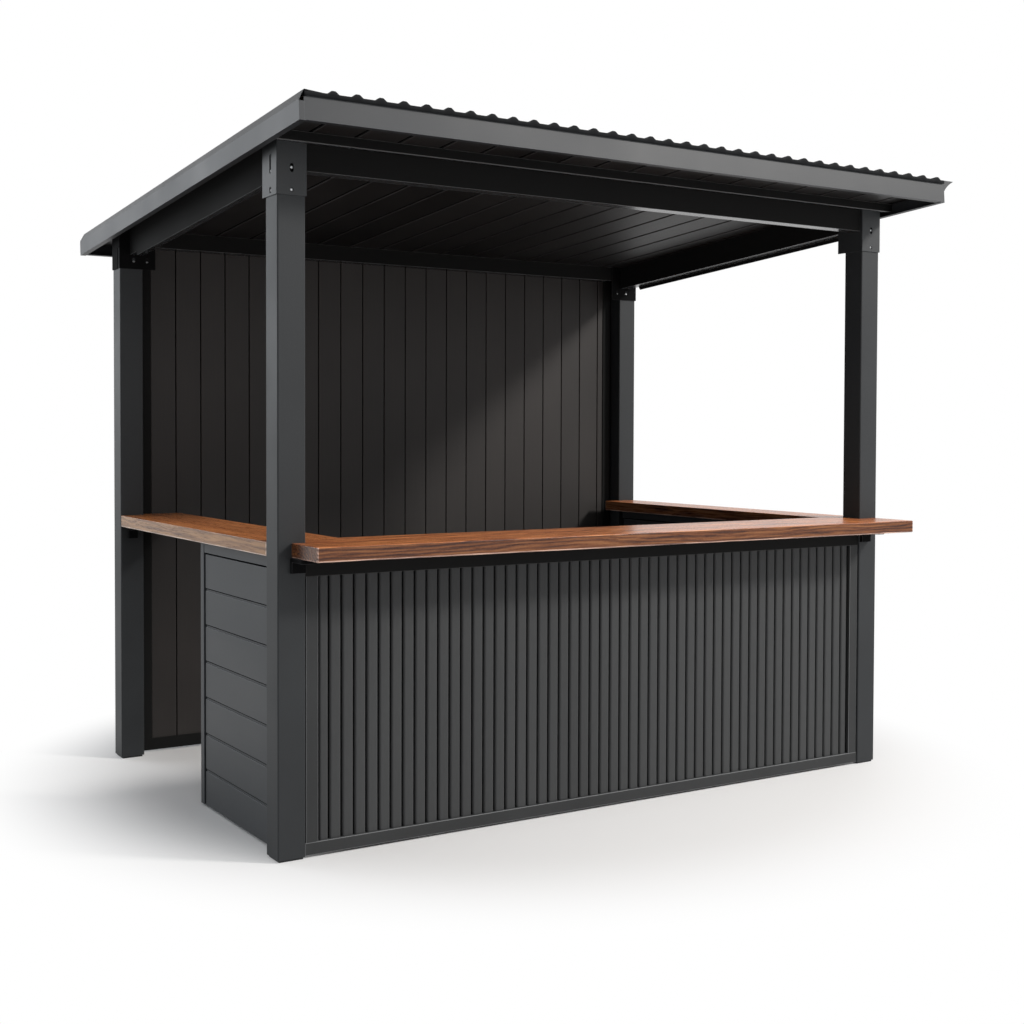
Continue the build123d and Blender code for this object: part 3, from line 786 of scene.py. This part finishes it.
class GARDENBAR_OT_roof_sheet(Operator):
    """Ribbed sheet with rounded ribs, and the screws that hold it to the battens"""

    bl_idname = "garden_bar.roof_sheet"
    bl_label = "Roof sheet"

    columns_per_rib = 22
    washer = {"segments": 12, "radius1": 0.008, "radius2": 0.0074, "depth": 0.002}
    hexagon = {"segments": 6, "radius1": 0.0046, "radius2": 0.0043, "depth": 0.005}

    def rib_height_at(self, x, first, sizes, last):
        """Height of the sheet over its pan at a place across the roof."""
        number = min(max(round((x - first) / sizes.rib_pitch), 0), last)
        off = abs(x - first - number * sizes.rib_pitch)
        run = (sizes.rib_base - sizes.rib_crest) / 2
        share = min(max((sizes.rib_base / 2 - off) / run, 0.0), 1.0)
        return sizes.rib_height * share * share * (3 - 2 * share)

    def execute(self, context):
        sizes = context.scene.garden_bar.roof
        paint = context.scene.garden_bar.paint
        coat = powder_coat("baked_coat_roof_sheet", paint.sheet, 0.7, specular=0.12)
        low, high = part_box("roof_sheet")
        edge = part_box("left_roof_trim")[0].x
        first = edge + sizes.first_rib
        ribs = int((high.x - sizes.side_margin - sizes.rib_base / 2 - first) / sizes.rib_pitch)
        width = high.x - low.x
        columns = round(width / sizes.rib_pitch * self.columns_per_rib)
        shape = bmesh.new()
        run = ROOF_LENGTH + sizes.drip
        middle = Vector(((low.x + high.x) / 2, ROOF_LENGTH / 2 - sizes.drip / 2, ROOF_FASCIA_HEIGHT))
        place = Matrix.Translation(middle) @ Matrix.Diagonal((width, run, 1, 1))
        bmesh.ops.create_grid(shape, x_segments=columns, y_segments=1, size=0.5, matrix=place)
        for v in shape.verts:
            v.co.z += self.rib_height_at(v.co.x, first, sizes, ribs) + sizes.thickness
        self.turn_down_front(shape, sizes)
        shape.transform(ROOF)
        sheet = finish_piece("ribbed_roof_sheet", shape, coat, ["roof_sheet"], smooth=True)
        # Round ribs need no weighting of their normals
        sheet.modifiers.clear()
        metal = sheet.modifiers.new("metal", "SOLIDIFY")
        metal.thickness = sizes.thickness
        metal.offset = -1
        self.add_screws(sizes, coat, first, ribs)
        return {"FINISHED"}

    def turn_down_front(self, shape, sizes):
        """Closes the ribs' front ends with an edge that is turned down over the fascia."""
        ends = [e for e in shape.edges if e.is_boundary and all(v.co.y < 0 for v in e.verts)]
        hem = ROOF_FASCIA_HEIGHT + sizes.thickness - sizes.apron
        added = bmesh.ops.extrude_edge_only(shape, edges=ends)["geom"]
        for v in added:
            if isinstance(v, bmesh.types.BMVert):
                v.co.z = hem

    def add_screws(self, sizes, coat, first, ribs):
        """Coated screws with sealing washers, in the pans over each batten."""
        shape = bmesh.new()
        pan = ROOF_FASCIA_HEIGHT + sizes.thickness
        washer_at = pan + self.washer["depth"] / 2
        head_at = pan + self.washer["depth"] + self.hexagon["depth"] / 2
        for node in BATTENS:
            low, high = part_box(node)
            run = ((low.y + high.y) / 2 - EAVE_LOW.y) / math.cos(FALL)
            for rib in range(0, ribs, sizes.screw_every):
                x = first + (rib + 0.5) * sizes.rib_pitch
                for height, sizes_of in ((washer_at, self.washer), (head_at, self.hexagon)):
                    seat = Matrix.Translation((x, run, height))
                    bmesh.ops.create_cone(shape, cap_ends=True, matrix=seat, **sizes_of)
        shape.transform(ROOF)
        finish_piece("roof_screws", shape, coat)


class GARDENBAR_OT_roof_edges(Operator):
    """Fascias and end trims with their folds rounded"""

    bl_idname = "garden_bar.roof_edges"
    bl_label = "Roof edges"

    easing = 0.0007

    def execute(self, context):
        paint = context.scene.garden_bar.paint
        coat = powder_coat("powder_coated_roof_edge", paint.roof, 0.5, specular=0.35, shine=1.5)
        for node in ("front_fascia", "back_fascia", "left_roof_trim", "right_roof_trim"):
            eased_copy("folded_" + node, node, coat, self.easing)
        return {"FINISHED"}


class GARDENBAR_OT_ceiling(Operator):
    """Boards of the ceiling, laid down the fall with open joints, and the battens over them"""

    bl_idname = "garden_bar.ceiling"
    bl_label = "Ceiling"

    # Heights over the fascia's bottom, square to the roof
    underside = 0.048
    membrane_bottom = 0.054
    deck_top = 0.060
    end_gap = 0.0025

    def execute(self, context):
        sizes = context.scene.garden_bar.boards
        paint = context.scene.garden_bar.paint
        stain = painted_boards(
            "black_stained_ceiling_boards",
            paint.ceiling,
            "Y",
            roughness=0.5,
            specular=0.4,
            contrast=0.7,
            shine=4.0,
            relief=0.0015,
        )
        low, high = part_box("ceiling_boards")
        front, back = self.end_gap, ROOF_LENGTH - self.end_gap
        shape = bmesh.new()
        spans = board_spans(
            low.x, high.x, low.x + sizes.ceiling_pitch, sizes.ceiling_pitch, sizes.ceiling_joint
        )
        for number, (left, right) in enumerate(spans):
            low_end, high_end = (left, front, self.underside), (right, back, self.membrane_bottom)
            add_board(shape, low_end, high_end, 1, sizes.easing, number)
        shape.transform(ROOF)
        finish_piece("ceiling_cladding", shape, stain, ["ceiling_boards"])
        low_end, high_end = (low.x, front, self.membrane_bottom), (high.x, back, self.deck_top)
        membrane = dark_membrane("black_ceiling_membrane")
        add_membrane("ceiling_backing", low_end, high_end, membrane, ROOF)
        sawn = painted_boards("sawn_softwood_batten", paint.batten, "X", 0.8, 0.3)
        for node in BATTENS:
            coat_node(node, sawn)
        return {"FINISHED"}


class GARDENBAR_OT_back_wall(Operator):
    """Upright boards of the back wall, with open joints over a black membrane"""

    bl_idname = "garden_bar.back_wall"
    bl_label = "Back wall"

    rail_easing = 0.001
    membrane_drop = 0.0005

    def execute(self, context):
        sizes = context.scene.garden_bar.boards
        paint = context.scene.garden_bar.paint
        stain = painted_boards("matt_stained_wall_boards", paint.wall, "Z", 0.55, 0.25)
        # The studs and the bottom rail get the beams' black: painted shade beside the back posts and at
        # the floor
        black = painted_boards("black_stud_painted_shade", paint.beam, "Z", 0.7, 0.1)
        low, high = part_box("back_wall_boards")
        top = high.z - (high.y - low.y) * math.tan(FALL)
        left_end, right_end = low.x + sizes.wall_end_gap, high.x - sizes.wall_end_gap
        first = low.x + sizes.wall_stud
        shape = bmesh.new()
        spans = board_spans(left_end, right_end, first, sizes.wall_pitch, sizes.wall_joint)
        for number, (left, right) in enumerate(spans):
            add_board(shape, (left, low.y, low.z), (right, high.y, top), 2, sizes.easing, number)
        finish_piece("wall_cladding", shape, stain, ["back_wall_boards"])
        inset = Vector((0, sizes.backing_depth, 0))
        high.z = top - self.membrane_drop
        membrane = dark_membrane("black_wall_membrane")
        add_membrane("wall_backing", low + inset, high - inset, membrane)
        for end, side in (("left", 1), ("right", -1)):
            node = "back_" + end + "_stud"
            low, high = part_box(node)
            if side > 0:
                low.x += sizes.wall_end_gap
            else:
                high.x -= sizes.wall_end_gap
            shape = bmesh.new()
            add_board(shape, low, high, 2, sizes.easing, side)
            finish_piece("painted_" + node, shape, black, [node])
        node = "back_bottom_rail"
        eased_copy("painted_" + node, node, black, self.rail_easing)
        return {"FINISHED"}


class GARDENBAR_OT_front(Operator):
    """Rounded slats of the front on their backing, in a frame of rails and stiles"""

    bl_idname = "garden_bar.front"
    bl_label = "Fluted front"

    slat_root = 0.003
    shoulder = 0.95
    bottom_rail_easing = 0.0025
    rail_easing = 0.0015
    strip_inset = (0, 0.004, 0.001)

    def execute(self, context):
        sizes = context.scene.garden_bar.boards
        paint = context.scene.garden_bar.paint
        coat = powder_coat("coated_front_slats", paint.front, 0.55, 0.15, (1, 1, 0.15), 2.5)
        rails = powder_coat("coated_front_rails", paint.rails, 0.55, 0.15, shine=3.5)
        # Black behind the slats and in the stile gaps: painted shade in the grooves and gaps
        membrane = dark_membrane("black_front_painted_shade")
        low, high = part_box("front_fluted_panel")
        count = round((high.x - low.x + sizes.flute_gap) / sizes.flute_pitch)
        step = (high.x - low.x + sizes.flute_gap) / count
        root = low.y + sizes.flute_rise
        shape = bmesh.new()
        for number in range(count):
            left = low.x + number * step
            right = left + step - sizes.flute_gap
            if number == 0:
                left += sizes.flute_end_gap
            if number == count - 1:
                right -= sizes.flute_end_gap
            verts = add_block(shape, (left, low.y, low.z), (right, root + self.slat_root, high.z))
            shoulders = [e for e in edges_along(verts, 2) if e.verts[0].co.y < root]
            ease(shape, shoulders, sizes.flute_rise * self.shoulder, segments=5, marked=False)
        finish_piece("fluted_front", shape, coat, ["front_fluted_panel"], smooth=True)
        add_membrane("front_backing", (low.x, root, low.z), high, membrane)
        # The top rail gets the beams' black: painted shade under the counter
        dark = powder_coat("shaded_front_rail", paint.beam, 0.7, 0.1, shine=5.0)
        for node, finish, easing in (
            ("front_bottom_rail", rails, self.bottom_rail_easing),
            ("front_top_rail", dark, self.rail_easing),
        ):
            eased_copy("steel_" + node, node, finish, easing)
        self.add_stile("left", sizes.stile_gap, rails, membrane)
        self.add_stile("right", -sizes.stile_gap, rails, membrane)
        return {"FINISHED"}

    def add_stile(self, end, gap, coat, membrane):
        """Stile with a dark gap beside its post, and a black strip of painted shade in the gap."""
        node = "front_" + end + "_stile"
        low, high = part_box(node)
        inset = Vector(self.strip_inset)
        strip_low, strip_high = low + inset, high - inset
        if gap > 0:
            strip_high.x = low.x + 2 * gap
            low.x += gap
        else:
            strip_low.x = high.x + 2 * gap
            high.x += gap
        shape = bmesh.new()
        add_board(shape, low, high, 2, self.rail_easing)
        finish_piece("steel_" + node, shape, coat, [node], smooth=True)
        add_membrane(node + "_strip", strip_low, strip_high, membrane)


class GARDENBAR_OT_sides(Operator):
    """Level boards of the two side panels, with their rails and the entry trim"""

    bl_idname = "garden_bar.sides"
    bl_label = "Side panels"

    rail_easing = 0.0015

    def execute(self, context):
        sizes = context.scene.garden_bar.boards
        paint = context.scene.garden_bar.paint
        coat = powder_coat("powder_coated_side_boards", paint.sides, 0.52, 0.3, (1, 0.3, 1), 1.5)
        membrane = dark_membrane("black_side_membrane")
        for side in ("left", "right"):
            low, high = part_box(side + "_side_boards")
            end = high.y - (sizes.side_end_gap if side == "left" else 0)
            shape = bmesh.new()
            joint = sizes.side_joint
            top = high.z - sizes.side_top_gap
            while top > low.z + sizes.side_pitch / 4:
                bottom = top - sizes.side_pitch + joint
                if bottom < low.z + sizes.side_pitch / 4 + joint:
                    bottom = low.z
                add_board(shape, (low.x, low.y, bottom), (high.x, end, top), 1, sizes.easing)
                if top < high.z - joint:
                    # The tongue fills the joint's lower part, a paler band under the black line
                    add_block(
                        shape,
                        (low.x + sizes.tongue_inset, low.y, top - sizes.tongue_inset),
                        (high.x - sizes.tongue_inset, end, top + joint * sizes.tongue_share),
                    )
                top = bottom - joint
            node = side + "_side_boards"
            finish_piece(side + "_side_cladding", shape, coat, [node], smooth=True)
            inset = Vector((sizes.backing_depth, 0, 0))
            # On the left it reaches into the entry trim, behind the gap beside the boards
            if side == "left":
                high.y += 2 * sizes.trim_gap
            add_membrane(side + "_side_backing", low + inset, high - inset, membrane)
        for node in ("left_side_rail", "right_side_rail"):
            eased_copy("steel_" + node, node, coat, self.rail_easing)
        shape = bmesh.new()
        node = "left_entry_trim"
        low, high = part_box(node)
        low.y += sizes.trim_gap
        add_board(shape, low, high, 2, self.rail_easing)
        finish_piece("steel_" + node, shape, coat, [node], smooth=True)
        return {"FINISHED"}


class GARDENBAR_OT_counters(Operator):
    """Oiled hardwood tops with the grain along each side of the bar"""

    bl_idname = "garden_bar.counters"
    bl_label = "Counters"

    def execute(self, context):
        timber = context.scene.garden_bar.timber
        along_side = math.pi / 2
        arris_segments = 3
        # The left top's edges are painted lighter, as light from the left falls on them; its grain, top
        # and sheen differ a little too
        for side, turn in (("front", 0.0), ("left", along_side), ("right", along_side)):
            wood = oiled_hardwood("oiled_hardwood_" + side, timber, turn, side == "left")
            node = side + "_counter"
            eased_copy(side + "_counter_top", node, wood, timber.arris, arris_segments)
        return {"FINISHED"}


def add_lamp(name, place, target, level, size, rgb):
    """Soft square lamp; level is how bright it renders a white card that faces it at the target."""
    reach = (Vector(target) - Vector(place)).length
    lamp = bpy.data.lights.new(name, "AREA")
    lamp.size = size
    lamp.energy = level * math.pi**2 * reach**2
    lamp.color = rgb
    holder = bpy.data.objects.new(name, lamp)
    bpy.context.scene.collection.objects.link(holder)
    holder.location = place
    holder.rotation_euler = (Vector(target) - Vector(place)).to_track_quat("-Z", "Y").to_euler()


def seen_directly(tree):
    """1 for rays that show the backdrop: those of the camera, of gloss and of glass."""
    path = add_node(tree, "LightPath")
    seen = path.outputs["Is Camera Ray"]
    for kind in ("Is Glossy Ray", "Is Transmission Ray"):
        rays = {0: seen, 1: path.outputs[kind]}
        seen = add_node(tree, "Math", {"operation": "MAXIMUM"}, rays).outputs[0]
    return seen


# Each lamp's setting, place, target, size and colour
LAMPS = (
    ("key", (7.6, -8.2, 7.8), (1.0, 0.2, 1.2), 1.6, (1, 0.97, 0.93)),
    ("over", (-0.5, -3.6, 6.0), (0, -0.9, 1.0), 6.0, (1, 1, 1)),
    ("left", (-7.0, 0.6, 3.2), (-1.2, 0, 1.4), 5.0, (0.9, 0.95, 1)),
    ("low", (2.5, -7.0, 3.0), (0, -0.9, 1.2), 3.0, (1, 1, 1)),
    ("back", (-5.0, 5.5, 3.4), (-1.4, 0, 1.6), 4.0, (0.9, 0.95, 1)),
    ("right", (7.5, -2.0, 3.0), (1.3, 0, 1.2), 3.0, (1, 1, 1)),
)


class GARDENBAR_OT_stage(Operator):
    """Pale floor, white surround, soft lamps and the camera"""

    bl_idname = "garden_bar.stage"
    bl_label = "Stage"

    floor_half = 30.0
    fade_start = 1.4
    fade_end = 2.2

    def execute(self, context):
        stage = context.scene.garden_bar.stage
        context.scene.view_settings.view_transform = "Standard"
        self.add_world(context.scene, stage)
        self.add_floor()
        for name, place, target, size, rgb in LAMPS:
            level = getattr(stage, name)
            if level > 0:
                add_lamp(name + "_lamp", place, target, level, size, rgb)
        self.add_camera(context.scene, stage)
        return {"FINISHED"}

    def add_world(self, scene, stage):
        """White where it is seen, dimmer where it lights matt surfaces."""
        world = bpy.data.worlds.new("studio")
        world.use_nodes = True
        tree = world.node_tree
        strength = add_node(
            tree, "MapRange", inputs={"Value": seen_directly(tree), "To Min": stage.sky, "To Max": 1.0}
        )
        background = tree.nodes["Background"]
        background.inputs["Color"].default_value = (1, 1, 1, 1)
        tree.links.new(strength.outputs[0], background.inputs["Strength"])
        scene.world = world

    def add_floor(self):
        """Level floor that keeps the shadow near the bar and runs out to white."""
        levels = {"Base Color": (0.95, 0.95, 0.955, 1), "Roughness": 0.7}
        material, tree, shader, place = start_material("pale_studio_floor", levels)
        away = add_node(tree, "VectorMath", {"operation": "LENGTH"}, {0: place})
        fade = add_node(
            tree,
            "MapRange",
            {"interpolation_type": "SMOOTHSTEP"},
            {"Value": away.outputs["Value"], "From Min": self.fade_start, "From Max": self.fade_end},
        )
        share = add_node(
            tree, "Math", {"operation": "MULTIPLY"}, {0: fade.outputs[0], 1: seen_directly(tree)}
        )
        white = add_node(tree, "Emission", inputs={"Color": (1, 1, 1, 1), "Strength": 1.0})
        mixed = add_node(
            tree, "MixShader", inputs={0: share.outputs[0], 1: shader.outputs[0], 2: white.outputs[0]}
        )
        output = tree.nodes["Material Output"]
        tree.links.new(mixed.outputs[0], output.inputs["Surface"])
        shape = bmesh.new()
        bmesh.ops.create_grid(shape, x_segments=1, y_segments=1, size=self.floor_half)
        mesh = bpy.data.meshes.new("studio_floor")
        shape.to_mesh(mesh)
        shape.free()
        mesh.materials.append(material)
        floor = bpy.data.objects.new("studio_floor", mesh)
        bpy.context.scene.collection.objects.link(floor)

    def add_camera(self, scene, stage):
        """Camera at the photograph's angle."""
        camera = bpy.data.cameras.new("camera")
        camera.sensor_width = 36.0
        camera.lens = stage.lens
        camera.shift_y = stage.shift
        holder = bpy.data.objects.new("camera", camera)
        scene.collection.objects.link(holder)
        level = Euler((math.pi / 2 - stage.dip, 0, -stage.heading), "XYZ").to_matrix().to_4x4()
        roll = Matrix.Rotation(stage.roll, 4, "Z")
        holder.matrix_world = Matrix.Translation(stage.eye) @ level @ roll
        scene.camera = holder


OPERATORS = (
    GARDENBAR_OT_posts,
    GARDENBAR_OT_plates,
    GARDENBAR_OT_bolts,
    GARDENBAR_OT_roof_sheet,
    GARDENBAR_OT_roof_edges,
    GARDENBAR_OT_ceiling,
    GARDENBAR_OT_back_wall,
    GARDENBAR_OT_front,
    GARDENBAR_OT_sides,
    GARDENBAR_OT_counters,
    GARDENBAR_OT_stage,
)
SETTINGS = (
    PaintSettings,
    TimberSettings,
    BoardSettings,
    RoofSettings,
    BoltSettings,
    StageSettings,
    GardenBarSettings,
)


class GARDENBAR_PT_sidebar(Panel):
    """Sidebar panel with the settings and the pieces"""

    bl_idname = "GARDENBAR_PT_sidebar"
    bl_label = "Garden Bar"
    bl_space_type = "VIEW_3D"
    bl_region_type = "UI"
    bl_category = "Garden Bar"

    def draw(self, context):
        settings = context.scene.garden_bar
        for group in ("paint", "timber", "boards", "roof", "bolts", "stage"):
            values = getattr(settings, group)
            box = self.layout.box()
            box.label(text=group.capitalize())
            for name in values.__annotations__:
                box.prop(values, name)
        for operator in OPERATORS:
            self.layout.operator(operator.bl_idname)


def register():
    for kind in (*SETTINGS, *OPERATORS, GARDENBAR_PT_sidebar):
        bpy.utils.register_class(kind)
    bpy.types.Scene.garden_bar = PointerProperty(type=GardenBarSettings)


def unregister():
    del bpy.types.Scene.garden_bar
    for kind in reversed((*SETTINGS, *OPERATORS, GARDENBAR_PT_sidebar)):
        bpy.utils.unregister_class(kind)


def main():
    register()
    for operator in OPERATORS:
        name = operator.bl_idname.split(".")[1]
        getattr(bpy.ops.garden_bar, name)()


if __name__ == "__main__":
    main()
